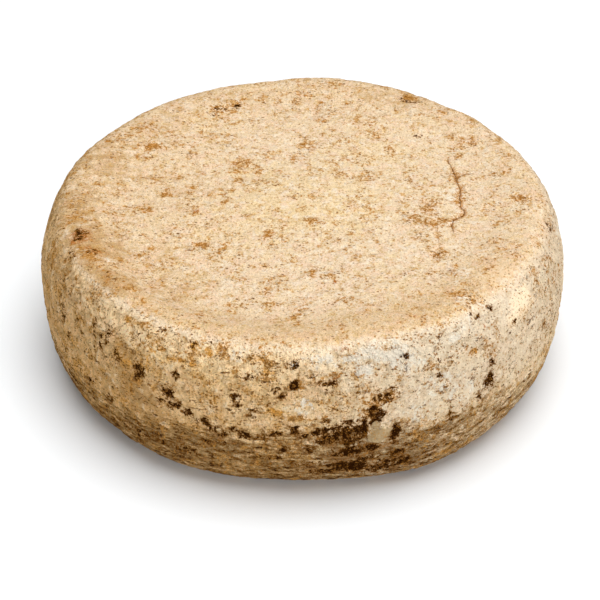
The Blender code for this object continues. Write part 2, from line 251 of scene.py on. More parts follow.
            (-62.6, 30.6, 2.2, 1.2, 0, 0.85), (-52.8, 38.4, 1.4, 2.6, 0, 0.95), (-66, 36, 6.0, 5.0, 0, 0.45),
            (25, 56, 10, 4, 0, 0.6), (95, 57, 12, 4, 0, 0.6), (150, 58, 9, 4, 0, 0.5), (-5, 55, 10, 5, 0, 0.5),
        ],
        "top": [
            (56.6, -49, 4.0, 5.0, 20, 0.5), (58, -66, 5.0, 4.0, 20, 0.5), (57, 4, 5.0, 6.0, 0, 0.35),
            (-69, -40, 2.4, 1.6, -30, 0.5),
        ],
    },
    "wax": {
        "side": [(-36, 57, 9.0, 5.5, 0, 0.8)],
        "top": [(70, -48, 6.0, 8.0, -30, 0.5)],
    },
    "island": {
        "side": [(-74.4, 29.4, 3.7, 4.2, 0, 1.0)],
    },
    "brown": {
        "side": [
            (-80, 22, 11.0, 13.0, 0, 0.9), (-67, 15, 12.0, 9.0, 0, 0.8), (-95, 16, 14.0, 4.0, 0, 0.3),
            (-121, 17, 12.0, 4.0, -10, 0.6), (-110, 23, 13.0, 5.0, -6, 0.6), (-70, 17, 8.0, 6.0, 0, 0.5),
            (-126, 37, 9.0, 9.0, 0, 0.6), (-55, 27, 8.0, 5.0, 14, 0.3), (-65, 25, 6.0, 2.0, 4, 0.7),
            (62, 20, 16.0, 10.0, 0, 0.6), (136, 18, 16.0, 9.0, 0, 0.7), (-172, 16, 12.0, 7.0, 0, 0.5),
        ],
        "under": [(0, 60, 60, 18, 0, 0.4), (-60, 0, 18, 50, 0, 0.4), (60, -20, 20, 44, 20, 0.4)],
    },
    "rust": {
        "side": [(-84, 54.3, 4.0, 0.7, 8, 0.6), (-47.8, 58, 1.0, 1.1, 0, 0.6), (-81, 62.6, 4.0, 0.8, 4, 0.5)],
        "top": [
            (38.6, -74.4, 2.2, 1.2, -30, 0.55), (11, -51, 1.2, 2.6, 0, 0.55), (-82, -26, 4.4, 4.4, 0, 0.9),
            (-77, -35, 5.0, 2.2, -45, 0.5), (-18.7, 35.9, 1.2, 1.0, 0, 0.7), (-40.4, -7.4, 1.4, 1.4, 0, 0.5),
        ],
    },
    "yellow": {
        "top": [(0, 0, 34.0, 26.0, 0, 1.0), (28, 30, 22.0, 18.0, 0, 0.7), (-20, -20, 20.0, 14.0, 0, 0.6)],
        "side": [(-115, 52, 20.0, 9.0, 0, 0.8), (-58, 54, 14.0, 5.0, 0, 0.6)],
    },
}

# where the stain of the shelf ends: turns in degrees, heights in mm
shelfStain = {
    "turns": (-180, -150, -135, -122, -110, -100, -90, -80, -66, -58, -50, -42, -30, -10, 40, 90, 140, 180),
    "tops": (24, 23, 24, 27, 29, 31, 32, 35, 31, 29, 29, 25, 21, 18, 22, 25, 22, 24),
    "blur": 5.0,
    "ragged": ((3.2, 9.0, 61), (2.2, 3.6, 67), (1.2, 1.8, 71)),     # depth, size, seed
}

cracks = {
    "main": {"path": [(56.2, 30), (57.3, 25), (57.9, 21.9), (59.0, 16.9), (59.2, 12.4), (60.1, 7.7), (59.7, 3.8),
                      (59.4, -1.3), (59.6, -4.3), (60.9, -6.6), (60.3, -9.8), (58.2, -11.2), (56.4, -13.6),
                      (55.5, -16.6), (55.7, -21.1), (56.0, -24)], "depth": 0.8, "width": 0.9, "dark": 0.95},
    "spur": {"path": [(58.2, 15.0), (60.0, 16.4), (62.6, 18.0), (66.0, 18.4)],
             "depth": 0.4, "width": 1.2, "dark": 0.7},
    "second": {"path": [(50.4, -12), (49.8, -21), (49.7, -29), (49.2, -35.3), (49.0, -40)],
               "depth": 0.3, "width": 0.7, "dark": 0.45},
    "small": {"path": [(7.4, 71), (6.0, 66), (5.8, 61)], "depth": 0.3, "width": 0.7, "dark": 0.5},
}

# soft edges, from where a share is 0 to where it is 1: in mm, degrees, or how far up a face looks
zones = {
    "faceUp": (0.55, 0.95),
    "faceSlope": (0.5, 0.9),
    "foot": (18.0, 4.0),
    "golden": (0.0, 0.8),
    "fairRight": (-15.0, 55.0),
    "fairHigh": (20.0, 40.0),
    "far": (20.0, 90.0),
    "outer": (45.0, 85.0),
    "westBrownAndShade": (20.0, -95.0),
    "front": (20.0, -50.0),
    "lipReach": (66.0, 80.0),
    "lipSlope": (0.90, 0.975),
    "bulgeHigh": (50.0, 57.0),
    "bulgeSlope": (0.93, 0.80),
    "warm": (28.0, -14.0),
    "behind": (-0.2, 0.5),
    "rimReach": (83.0, 92.0),
    "rimHigh": (44.0, 56.0),
    "shoulderHigh": (34.0, 48.0),
    "shoulderReach": (82.0, 90.0),
    "shoulderTurn": (80.0, 40.0),
}


def ease(low, high, value):
    share = np.clip((value - low) / (high - low), 0.0, 1.0)
    return share * share * (3.0 - 2.0 * share)


def zone(name, value):
    return ease(*zones[name], value)


def roughWave(points, size, seed, stretch=(1.0, 1.0, 1.0)):   # -1 to 1, points and size in mm
    shifted = points / (np.array(stretch) * size) + seed * np.array((7.31, 3.17, 5.93))
    return np.array([noise.noise(place) for place in shifted.tolist()])


def waves(points, table):     # table holds the depth, size and seed of each wave
    return sum(depth * roughWave(points, size, seed) for depth, size, seed in table)


def creases(points, size, seed, stretch=(1.0, 1.0, 1.0)):     # 1 in the folds between round lobes
    bendSize, bendDepth = relief["creaseBend"]
    bend = np.stack([roughWave(points, size * bendSize, seed + turn) for turn in (1, 2, 3)], axis=1)
    bent = points + bend * size * bendDepth
    return 1.0 - np.abs(roughWave(bent, size, seed, stretch)) * relief["creaseNarrow"]


def closedShell(name, solid):     # an even, closed mesh over the solid
    mesh = solid.data.copy()
    shell = bpy.data.objects.new(name, mesh)
    bpy.context.scene.collection.objects.link(shell)
    knit = bmesh.new()
    knit.from_mesh(mesh)
    bmesh.ops.remove_doubles(knit, verts=knit.verts, dist=wheelRind["weld"])
    knit.to_mesh(mesh)
    knit.free()
    remesh = shell.modifiers.new("evenMesh", "REMESH")
    remesh.mode = "VOXEL"
    remesh.voxel_size = wheelRind["cell"]
    built = shell.evaluated_get(bpy.context.evaluated_depsgraph_get())
    even = bpy.data.meshes.new_from_object(built)
    shell.modifiers.clear()
    shell.data = even
    even.name = name
    bpy.data.meshes.remove(mesh)
    even.materials.clear()
    even.polygons.foreach_set("use_smooth", np.ones(len(even.polygons), bool))
    return shell


def pointsOf(mesh):
    flat = np.empty(len(mesh.vertices) * 3)
    mesh.vertices.foreach_get("co", flat)
    return flat.reshape(-1, 3)


def normalsOf(mesh):
    flat = np.empty(len(mesh.vertices) * 3)
    mesh.vertex_normals.foreach_get("vector", flat)
    return flat.reshape(-1, 3)


def setPoints(mesh, points):
    mesh.vertices.foreach_set("co", points.astype(np.float32).ravel())
    mesh.update()


def relaxed(mesh, values, rounds):     # each value moves towards the mean of its neighbours
    ends = np.empty(len(mesh.edges) * 2, np.int64)
    mesh.edges.foreach_get("vertices", ends)
    ends = ends.reshape(-1, 2)
    one, other = np.concatenate([ends, ends[:, ::-1]]).T
    count = np.bincount(one, minlength=len(values))
    halfway = 0.5
    for _ in range(rounds):
        mean = np.stack([np.bincount(one, part[other], len(values)) / count for part in values.T], axis=1)
        values = values + halfway * (mean - values)
    return values


def anchorOf(points, normals, where, side):     # the mesh point that a patch is centred on
    farOff = 1e4     # keeps points of another side out
    if side == "side":
        around = np.arctan2(points[:, 1], points[:, 0]) - np.radians(where[0])
        around = (around + np.pi) % (2 * np.pi) - np.pi
        apart = (around * wheelRind["radius"]) ** 2 + (points[:, 2] - where[1]) ** 2
        apart += farOff * (np.hypot(points[:, 0], points[:, 1]) < wheelRind["sideFrom"])
    else:
        apart = (points[:, 0] - where[0]) ** 2 + (points[:, 1] - where[1]) ** 2
        apart += farOff * ((points[:, 2] > wheelRind["topFrom"]) != (side == "top"))
    nearest = int(np.argmin(apart))
    return points[nearest], normals[nearest]


def patchMask(points, normals, kind, warp, edge=patchEdge):     # 0 outside the patches, up to its strength in each
    total = np.zeros(len(points))
    for side, entries in patches[kind].items():
        sky = np.array((0.0, 0.0, 1.0)) if side == "side" else np.array((0.0, 1.0, 0.0))
        for first, second, long, short, turn, strength in entries:
            centre, facing = anchorOf(points, normals, (first, second), side)
            along = np.cross(sky, facing)
            along /= np.linalg.norm(along)
            up = np.cross(facing, along)
            turned = math.radians(turn)
            away = points - centre
            near = np.abs(away @ facing) < 2.0 * max(long, short)
            flatU, flatV = away @ along, away @ up
            u = (flatU * math.cos(turned) + flatV * math.sin(turned)) / long
            v = (flatV * math.cos(turned) - flatU * math.sin(turned)) / short
            total = np.maximum(total, strength * ease(*edge, np.hypot(u, v) + warp) * near)
    return total


def besidePath(points, path):     # signed distance to the crack's line, and the share along it
    best = np.full(len(points), 1e3)
    signed = np.full(len(points), 1e3)
    share = np.zeros(len(points))
    for step, (start, end) in enumerate(zip(path, path[1:])):
        start, end = np.array(start, float), np.array(end, float)
        run = end - start
        away = points[:, :2] - start
        part = np.clip((away @ run) / (run @ run), 0.0, 1.0)
        gap = away - part[:, None] * run
        apart = np.hypot(gap[:, 0], gap[:, 1])
        nearer = apart < best
        best = np.where(nearer, apart, best)
        cross = np.sign(run[0] * away[:, 1] - run[1] * away[:, 0])
        signed = np.where(nearer, apart * cross, signed)
        share = np.where(nearer, (step + part) / (len(path) - 1), share)
    return signed, share


def keep(mesh, name, values):
    layer = mesh.attributes.new(name, "FLOAT", "POINT")
    layer.data.foreach_set("value", np.asarray(values, np.float32))


# the flat sheet that the finish can be baked on, in mm
bakeSheet = {
    "size": 342.0,
    "topMiddle": (102.0, 102.0),
    "topFaces": (52.0, 94.5),           # higher than, and nearer the middle than
    "underMiddle": (274.0, 102.0),
    "underFaces": (6.0, 92.0),          # lower than, and nearer the middle than
    "underShare": 0.66,                 # the underside is laid down smaller
    "sideCorner": (4.0, 215.0),
    "stripStep": 78.0,                  # the side lies in two strips, one above the other
    "shoulderRoom": (0.55, 30.0),       # extra height of the shoulders, away from this level
}


def bakeMap(mesh, points):
    layer = mesh.uv_layers.new(name="OFBake")
    corners = np.empty(len(mesh.loops), np.int64)
    mesh.loops.foreach_get("vertex_index", corners)
    starts = np.empty(len(mesh.polygons), np.int64)
    mesh.polygons.foreach_get("loop_start", starts)
    counts = np.empty(len(mesh.polygons), np.int64)
    mesh.polygons.foreach_get("loop_total", counts)
    face = np.repeat(np.arange(len(starts)), counts)
    place = points[corners]
    middle = np.stack([np.bincount(face, place[:, axis]) / counts for axis in range(3)], axis=1)
    reach = np.hypot(middle[:, 0], middle[:, 1])
    topHigh, topReach = bakeSheet["topFaces"]
    underHigh, underReach = bakeSheet["underFaces"]
    topFace = ((middle[:, 2] > topHigh) & (reach < topReach))[face]
    underFace = ((middle[:, 2] < underHigh) & (reach < underReach))[face]

    # a face that crosses the seam on the left stays in one piece
    middleTurn = np.arctan2(middle[:, 1], middle[:, 0])[face]
    turn = np.arctan2(place[:, 1], place[:, 0])
    turn = np.where(turn - middleTurn > np.pi, turn - 2 * np.pi, turn)
    turn = np.where(turn - middleTurn < -np.pi, turn + 2 * np.pi, turn)
    strip = (middleTurn > 0).astype(float)
    share, level = bakeSheet["shoulderRoom"]
    inwards = wheelRind["radius"] - np.hypot(place[:, 0], place[:, 1])
    climb = place[:, 2] + share * inwards * np.sign(place[:, 2] - level)
    left, bottom = bakeSheet["sideCorner"]
    u = left + (turn - np.pi * (strip - 1)) * wheelRind["radius"]
    v = bottom + climb + strip * bakeSheet["stripStep"]

    topX, topY = bakeSheet["topMiddle"]
    underX, underY = bakeSheet["underMiddle"]
    smaller = bakeSheet["underShare"]
    u = np.where(topFace, topX + place[:, 0], u)
    v = np.where(topFace, topY + place[:, 1], v)
    u = np.where(underFace, underX + smaller * place[:, 0], u)
    v = np.where(underFace, underY + smaller * place[:, 1], v)
    sheet = np.stack([u, v], axis=1) / bakeSheet["size"]
    layer.data.foreach_set("uv", sheet.astype(np.float32).ravel())


def raiseRelief(points, masks, topShare, sideShare):     # mm outwards, from broad to fine
    streak = (relief["streak"], 1.0, 1.0)
    smooth = 1.0 - relief["smoothing"] * np.maximum(masks["wax"], masks["island"])
    calm = 1.0 - (1.0 - relief["topShare"]) * topShare
    size, depth = relief["swell"]
    raised = depth * roughWave(points, size, 1)
    for kind, seed in (("wrinkle", 5), ("crumple", 11)):
        size, depth = relief[kind]
        fold = creases(points, size, seed) * (1.0 - topShare)
        fold += creases(points, size, seed + 40, streak) * topShare
        raised -= depth * calm * smooth * np.clip(fold, 0.0, 1.0) ** 2
    size, depth = relief["grain"]
    raised += depth * smooth * roughWave(points, size, 17)
    size, depth = relief["pits"]
    pitted = ease(0.30, 0.62, roughWave(points, size * 0.45, 23))
    pitted = pitted * ease(-0.1, 0.35, roughWave(points, 22.0, 29))     # pits come in groups
    raised -= depth * pitted * smooth * (0.35 + 0.65 * sideShare)

    # mould sits in ragged hollows, chalk stands proud, the smooth island is raised
    ragged = 0.6 + 0.8 * roughWave(points, 1.9, 41)
    raised -= relief["mouldDepth"] * ease(0.35, 0.9, masks["mould"]) * ragged
    raised += relief["chalkRise"] * masks["chalk"] * (0.7 + roughWave(points, 3.0, 43))
    raised += relief["islandRise"] * ease(0.2, 0.7, masks["island"])
    return raised


def openCracks(mesh, points, raised):     # a groove with a low bank on both sides, thin at its ends
    hairline = np.zeros(len(points))
    onTop = points[:, 2] > 50.0
    for number, (name, crack) in enumerate(cracks.items()):
        signed, share = besidePath(points, crack["path"])
        signed = signed + 0.35 * roughWave(points, 2.6, 51 + number)
        apart = np.abs(signed)
        thin = ease(0.0, 0.08, share) * ease(1.0, 0.85, share)
        width = crack["width"] * (0.55 + 0.45 * thin)
        groove = ease(1.0, 0.0, apart / width) * onTop
        raised -= crack["depth"] * groove * (0.3 + 0.7 * thin)
        raised += 0.18 * crack["depth"] * ease(3.2, 1.2, apart) * ease(0.8, 1.6, apart) * onTop
        keep(mesh, name + "Crack", np.where(onTop, signed, 1e3))
        hairline = np.maximum(hairline, crack["dark"] * groove * (0.25 + 0.75 * thin))
    keep(mesh, "crackStain", relaxed(mesh, hairline[:, None], 2)[:, 0])
    return raised


def keepZones(mesh, points, normals, topShare, sideShare):     # where the finish drifts over the wheel, and where it paints light and shade
    x, y, height = points.T
    faceUp = normals[:, 2]
    reach = np.hypot(x, y)
    turn = np.degrees(np.arctan2(y, x))
    keep(mesh, "topShare", topShare)
    stainTop = np.interp(turn, shelfStain["turns"], shelfStain["tops"])
    edge = stainTop - height + waves(points, shelfStain["ragged"])
    keep(mesh, "low", ease(-shelfStain["blur"], shelfStain["blur"], edge))
    keep(mesh, "foot", zone("foot", height))
    keep(mesh, "golden", sideShare * zone("golden", (35.0 - height) / 45.0 - x / 110.0))
    # the upper right of the side: a cleaner, rosier rind, and paler there as painted light
    keep(mesh, "fairAndLit", zone("fairRight", x) * zone("fairHigh", height) * (1.0 - topShare))
    outward = np.maximum(0.8 * zone("far", y), 0.45 * zone("outer", reach))
    # the top towards the left and the far side: partly a browner rind with more pepper, partly painted shade
    keep(mesh, "westward", np.maximum(zone("westBrownAndShade", x), outward) * topShare)
    front = zone("front", y + 0.3 * np.abs(x))
    # painted shade on the inner slope of the dish behind the front lip
    keep(mesh, "lipShade", front * zone("lipReach", reach) * zone("lipSlope", faceUp) * topShare)
    # painted light: a pale band where the front shoulder faces up and forwards
    keep(mesh, "bulgeLight", front * (zone("bulgeHigh", height) * zone("bulgeSlope", faceUp)))
    keep(mesh, "warmth", zone("warm", x) * (1.0 - topShare))
    behind = zone("behind", (y - 0.25 * x) / 100.0)
    # the back of the shoulder: browner and more peppered, and darker as painted shade
    keep(mesh, "rimBrownAndShade", zone("rimReach", reach) * zone("rimHigh", height) * (0.1 + 0.9 * behind))
    shoulder = zone("shoulderHigh", height) * zone("shoulderReach", reach)
    keep(mesh, "pepper", shoulder * (0.35 + 0.65 * zone("shoulderTurn", np.abs(turn + 5.0))))


def makeRind():
    shell = closedShell("rind", bpy.data.objects[wheelRind["node"]])
    mesh = shell.data
    setPoints(mesh, relaxed(mesh, pointsOf(mesh), wheelRind["relaxRounds"]))
    points, normals = pointsOf(mesh) / mm, normalsOf(mesh)
    print("rind mesh:", len(mesh.polygons), "faces")

    topShare = zone("faceUp", normals[:, 2]) * (points[:, 2] > wheelRind["topFrom"])
    sideShare = 1.0 - zone("faceSlope", np.abs(normals[:, 2]))
    warp = waves(points, patchWarp)
    masks = {kind: patchMask(points, normals, kind, warp) for kind in patches}
    masks["bruise"] = patchMask(points, normals, "mould", warp, bruiseEdge) * sideShare
    print("patches laid")

    raised = raiseRelief(points, masks, topShare, sideShare)
    raised = openCracks(mesh, points, raised)
    footed = ease(0.0, wheelRind["footFade"] / mm, points[:, 2])
    moved = points + normals * (raised * footed)[:, None]
    pressed = np.maximum(0.0, points[:, 2] * wheelRind["footPress"])
    moved[:, 2] = np.where(points[:, 2] < wheelRind["footFlat"] / mm, pressed, moved[:, 2])
    moved[:, 2] = np.maximum(moved[:, 2], 0.0)
    setPoints(mesh, moved * mm)

    for kind, mask in masks.items():
        keep(mesh, kind, mask)
    # how deep each place lies; the finish paints shade into the deep places and highlights onto the crowns
    keep(mesh, "hollow", np.clip(0.5 - raised * 1.2, 0.0, 1.0))
    keepZones(mesh, points, normals, topShare, sideShare)
    bakeMap(mesh, points)
    print("rind shaped: reach", round(float(np.hypot(points[:, 0], points[:, 1]).max()), 1), "mm")
    return shell


class Shade:     # a shader socket that does sums
    def __init__(self, tree, socket=None):
        self.tree = tree
        self.socket = socket

    def add(self, kind, settings=None, sockets=None, out=0):
        made = self.tree.nodes.new(kind)
        for name, value in (settings or {}).items():
            setattr(made, name, value)
        for name, value in (sockets or {}).items():
            if isinstance(value, Shade):
                self.tree.links.new(value.socket, made.inputs[name])
            else:
                made.inputs[name].default_value = value
        return None if out is None else Shade(self.tree, made.outputs[out])

    def other(self, out):     # another output of the same node
        return Shade(self.tree, self.socket.node.outputs[out])

    def rgb(self, colour):
        made = self.tree.nodes.new("ShaderNodeRGB")
        made.outputs[0].default_value = (*colour, 1.0)
        return Shade(self.tree, made.outputs[0])

    def holdsVector(self):
        return self.socket.type in ("VECTOR", "RGBA")

    def sum(self, operation, first, second):
        vectors = [isinstance(part, tuple) or (isinstance(part, Shade) and part.holdsVector())
                   for part in (first, second)]
        if not any(vectors):
            return self.add("ShaderNodeMath", {"operation": operation}, {0: first, 1: second})
        if operation == "MULTIPLY" and not all(vectors):     # a number scales a vector or a colour
            vector, number = (first, second) if vectors[0] else (second, first)
            return self.add("ShaderNodeVectorMath", {"operation": "SCALE"}, {0: vector, "Scale": number})
        return self.add("ShaderNodeVectorMath", {"operation": operation}, {0: first, 1: second})

    def __add__(self, other):
        return self.sum("ADD", self, other)

    def __radd__(self, other):
        return self.sum("ADD", other, self)

    def __sub__(self, other):
        return self.sum("SUBTRACT", self, other)

    def __rsub__(self, other):
        return self.sum("SUBTRACT", other, self)

    def __mul__(self, other):
        return self.sum("MULTIPLY", self, other)

    def __rmul__(self, other):
        return self.sum("MULTIPLY", other, self)

    def __truediv__(self, other):
        return self.sum("DIVIDE", self, other)

    def least(self, other):
        return self.sum("MINIMUM", self, other)

    def most(self, other):
        return self.sum("MAXIMUM", self, other)

    def size(self):
        return self.add("ShaderNodeMath", {"operation": "ABSOLUTE"}, {0: self})

    def between(self, low, high):     # a soft step, 0 at low and 1 at high
        return self.add("ShaderNodeMapRange", {"interpolation_type": "SMOOTHSTEP"},
                        {"Value": self, "From Min": low, "From Max": high})


rindFinish = {
    "cream": (0.885, 0.690, 0.450),      # the pale rind and its own tints, some also laid on as painted light and shade
    "butter": (0.880, 0.665, 0.355),
    "blush": (0.875, 0.635, 0.420),
    "milk": (0.920, 0.775, 0.575),
    "buff": (0.720, 0.445, 0.180),
    "straw": (0.700, 0.480, 0.210),
    "fawn": (0.520, 0.335, 0.155),
    "honey": (0.520, 0.300, 0.105),
    "amber": (0.790, 0.420, 0.115),
    "tan": (0.570, 0.300, 0.090),        # the marks
    "orange": (0.860, 0.400, 0.070),
    "ochre": (0.530, 0.220, 0.042),
    "umber": (0.310, 0.122, 0.017),
    "bark": (0.145, 0.048, 0.005),
    "bruise": (0.330, 0.170, 0.065),
    "drab": (0.310, 0.212, 0.098),
    "split": (0.165, 0.060, 0.005),
    "soot": (0.020, 0.005, 0.001),
    "rust": (0.450, 0.140, 0.030),
    "ash": (0.400, 0.310, 0.215),
    "chalk": (0.970, 0.865, 0.700),
    "roughness": 0.75,
    "shine": 0.0,
}


def dye(base, tint, share):     # the share of base that takes the tint
    colours = {6: base, 7: (*rindFinish[tint], 1.0)}     # the Mix node's colour sockets, its colour output is 2
    return base.add("ShaderNodeMix", {"data_type": "RGBA"}, {"Factor": share, **colours}, 2)


def makeRindFinish():
    material = bpy.data.materials.new("rindFinish")
    material.use_nodes = True
    tree = material.node_tree
    tree.nodes.clear()
    start = Shade(tree)

    def mask(name):     # a share that makeRind kept on the mesh
        return start.add("ShaderNodeAttribute", {"attribute_name": name}, out=2)

    place = start.add("ShaderNodeTexCoord", out=3) * 1000.0     # the object's own place, in millimetres

    # mean 0 and spread about 1, whatever the detail
    def cloud(size, detail=3.0, rough=0.55, seed=0.0, distortion=0.0, shape=(1.0, 1.0, 1.0)):
        made = start.add("ShaderNodeTexNoise", {"noise_dimensions": "3D"}, {
            "Vector": place * shape + (seed, seed * 1.7, -seed), "Scale": 1.0 / size,
            "Detail": detail, "Roughness": rough, "Distortion": distortion})
        return (made - 0.5) * (8.0 + 1.3 * detail * (1.0 + rough))

    top = mask("topShare")
    side = 1.0 - top
    hollow, low, foot, rimBrownAndShade = mask("hollow"), mask("low"), mask("foot"), mask("rimBrownAndShade")
    shade, fairAndLit, westBrownAndShade = mask("golden"), mask("fairAndLit"), mask("westward")
    lipShade, bulgeLight, warmth = mask("lipShade"), mask("bulgeLight"), mask("warmth")
    mould, ochre, chalk, crowd = mask("mould"), mask("ochre"), mask("chalk"), mask("crumbs")
    brown, rust, yellow, wax, tawny = mask("brown"), mask("rust"), mask("yellow"), mask("wax"), mask("tawny")
    orange = mask("orange")
    crackStain, shoulder = mask("crackStain"), mask("pepper")

    drift = cloud(26.0, 2.0, seed=3.0)
    busy = cloud(9.0, 4.0, 0.62, seed=41.0)
    patch = cloud(4.2, 4.0, 0.7, seed=52.0)
    flakes = cloud(2.1, 3.0, 0.7, seed=27.0)
    grain = cloud(0.72, 2.0, 0.8, seed=21.0)
    fine = cloud(0.95, 2.0, 0.7, seed=61.0)
    crumble = cloud(1.7, 4.0, 0.75, seed=91.0)
    streaks = cloud(5.0, 5.0, 0.68, seed=105.0, shape=(1.0, 1.0, 3.4))
    lumps = cloud(3.0, 1.0, 0.5, seed=151.0, shape=(1.0, 1.0, 0.72))
    # the folds of the relief carry painted shade, the lumps between them painted highlights, and both some real
    # tints
    folds = (hollow - 0.5) * 2.4 + flakes * 0.30 - lumps * 0.30
    isle = (mask("island") + flakes * 0.05 + grain * 0.03).between(0.30, 0.48)
    bruise = mask("bruise")
    worn = 1.0 - (wax * 0.9).most(isle * 0.7)
    clean = 1.0 - low * 0.85
    gathered = (busy + patch * 0.3).between(-0.4, 1.5)     # where dots crowd together

    ruffled = place * (0.74, 1.25, 1.20) + (grain * 0.12) * (1.0, -1.0, 1.0)

    # ragged dots of mixed size, each with a rim
    def specks(colour, cell, seed, radius, density, halo, core, spill=0.6):
        dots = start.add("ShaderNodeTexVoronoi", {"feature": "F1"},
                         {"Vector": ruffled + (seed, -seed, seed * 2.1), "Scale": 1.0 / cell})
        chance = start.add("ShaderNodeSeparateColor", sockets={"Color": dots.other(1)})
        reach = chance.other(1) * (radius / cell) + radius * 0.5 / cell
        away = dots / reach
        held = (density - chance).between(0.0, 0.03)
        colour = dye(colour, halo, away.between(1.9, 0.9) * held * spill)
        return dye(colour, core, away.between(1.0, 0.7) * held * 0.95)

    # the pale rind and the tints it drifts through
    yellowed = (yellow * 0.6 + drift.between(0.2, 2.0) * 0.3).least(1.0)
    colour = dye(start.rgb(rindFinish["cream"]), "butter", yellowed)
    rosy = cloud(6.0, 3.0, seed=9.0) + fairAndLit * 0.6 - yellow * 0.8
    colour = dye(colour, "blush", rosy.between(-0.6, 1.4) * 0.78)
    colour = dye(colour, "butter", cloud(2.6, 2.0, seed=15.0).between(0.9, 2.0) * 0.6)
    colour = dye(colour, "milk", cloud(2.6, 3.0, 0.6, seed=11.0).between(0.3, 1.6) * 0.7)
    # less buff on the front bulge: painted highlight
    golden = shade * 0.56 + side * 0.02 + busy.between(-0.2, 1.6) * side * 0.40 - bulgeLight * 0.34
    golden = (golden + patch.between(0.1, 2.0) * (0.14 + side * 0.22)) * (1.0 - fairAndLit * 0.80)
    colour = dye(colour, "buff", golden.most(0.0).least(1.0) * worn)
    # the right side paler: partly a cleaner rind, partly painted light
    colour = dye(colour, "milk", (fairAndLit * 0.85 + flakes * 0.15).between(0.0, 0.9) * 0.65)
    aged = tawny * 0.9 + folds * 0.16 + patch * 0.10
    colour = dye(colour, "honey", aged.between(0.15, 1.1) * tawny.between(0.0, 0.15) * 0.78 * worn)
    colour = dye(colour, "straw", wax * side * 0.40)
    # fawn on the back shoulder: partly a brown tint, partly painted shade
    colour = dye(colour, "fawn", (rimBrownAndShade + patch * 0.12 + flakes * 0.20).between(0.25, 1.4) * 0.80)

    # the top is darker and browner to the left and on the far side, partly a brown tint and partly painted shade,
    # and darker inside the front lip as painted shade; the side is warmer on its left
    colour = colour * ((westBrownAndShade * -0.12 - lipShade * 0.13) * (0.6, 1.0, 1.6) + (1.0, 1.0, 1.0))
    # painted highlight: the front bulge is paler
    colour = dye(colour, "milk", (bulgeLight - warmth * 0.2 + flakes * 0.12).between(0.1, 1.0) * 0.70)
    # a little paler on the right, painted light, and warmer on the left of the side
    colour = colour * (fairAndLit * (0.0, 0.01, 0.05) - warmth * (-0.02, 0.07, 0.21) + (1.0, 1.0, 1.0))
    # painted highlight: the front bulge lighter still where the side is warm
    colour = colour * (1.0 + bulgeLight * warmth * 0.14)
    colour = colour * (side * (0.035, 0.005, -0.05) + top * (0.0, 0.005, 0.055) + (1.0, 1.0, 1.0))

    # crowns of the folds are paler, a painted highlight, and the gaps are straw and tan, partly painted shade
    # between the flakes
    crownLight = (lumps * 0.5 - flakes * 0.4 - folds).between(0.2, 2.0) * side * worn
    colour = dye(colour, "milk", crownLight * (0.58 - warmth * 0.10 - fairAndLit * 0.25))
    colour = dye(colour, "butter", crownLight * warmth * 0.30)
    gapsAndShade = grain * (0.36 - side * 0.22) + flakes * (0.85 - side * 0.20)
    gapsAndShade = gapsAndShade - lumps * side * 0.35 + patch * 0.30 + rimBrownAndShade * 0.6
    colour = dye(colour, "straw", gapsAndShade.between(-0.2, 2.4) * (0.62 - side * 0.22 - fairAndLit * 0.32) * worn)
    deepGapsAndShade = (gapsAndShade + fine * 0.4).between(0.9, 3.0)
    colour = dye(colour, "tan", deepGapsAndShade * (0.35 - side * 0.12 - fairAndLit * 0.15) * worn)
    # painted shade: fawn in the hollows of the folds
    colour = dye(colour, "fawn", folds.between(0.4, 1.9) * side * (0.52 - fairAndLit * 0.20) * worn)
    dust = cloud(0.45, 1.0, seed=71.0)
    gritty = grain * 0.030 + fine * 0.020 + dust * (0.070 + westBrownAndShade * 0.030)
    gritty = gritty * (1.0 - side * 0.3 - fairAndLit * 0.2)
    colour = colour * (1.0 - gritty * worn)
    net = cloud(2.6, 3.0, 0.6, seed=31.0, distortion=0.9, shape=(0.58, 1.0, 1.0)).size()
    where = busy + flakes * 0.4 + patch * 0.4 + ochre * 1.2 + side * 0.1
    lines = net.between(0.10, 0.03) * where.between(0.1, 1.7)
    colour = dye(colour, "umber", lines * (0.60 - side * 0.15 - fairAndLit * 0.2) * worn)

    # brown stain low on the side
    stain = low * 1.7 + brown * 1.3 + foot * 0.3 + shade * 0.2
    stained = stain + (streaks * 0.70 + flakes * 0.15 + patch * 0.30) * low.between(0.0, 0.5)
    colour = dye(colour, "fawn", stained.between(0.2, 1.9) * (0.55 - warmth * 0.20) * side * worn)
    colour = dye(colour, "honey", stained.between(0.2, 1.9) * (0.35 + warmth * 0.35) * side * worn)
    colour = dye(colour, "umber", (stained + fine * 0.5).between(1.2, 4.0) * side * 0.88 * worn)
    colour = colour * (1.0 - (stain * 0.5 + streaks * 0.12).between(0.2, 1.4) * side * worn * 0.44)
    colour = colour * (1.0 - (dust * 0.11 + grain * 0.04) * low * worn)
    deeper = stain * 0.60 + crumble * 0.45 + fine * 0.22 + streaks * 0.75 + patch * 0.25
    colour = dye(colour, "bark", deeper.between(1.60, 2.40) * side * 0.90 * worn)
    colour = dye(colour, "soot", deeper.between(2.50, 3.10) * side * 0.92 * worn)

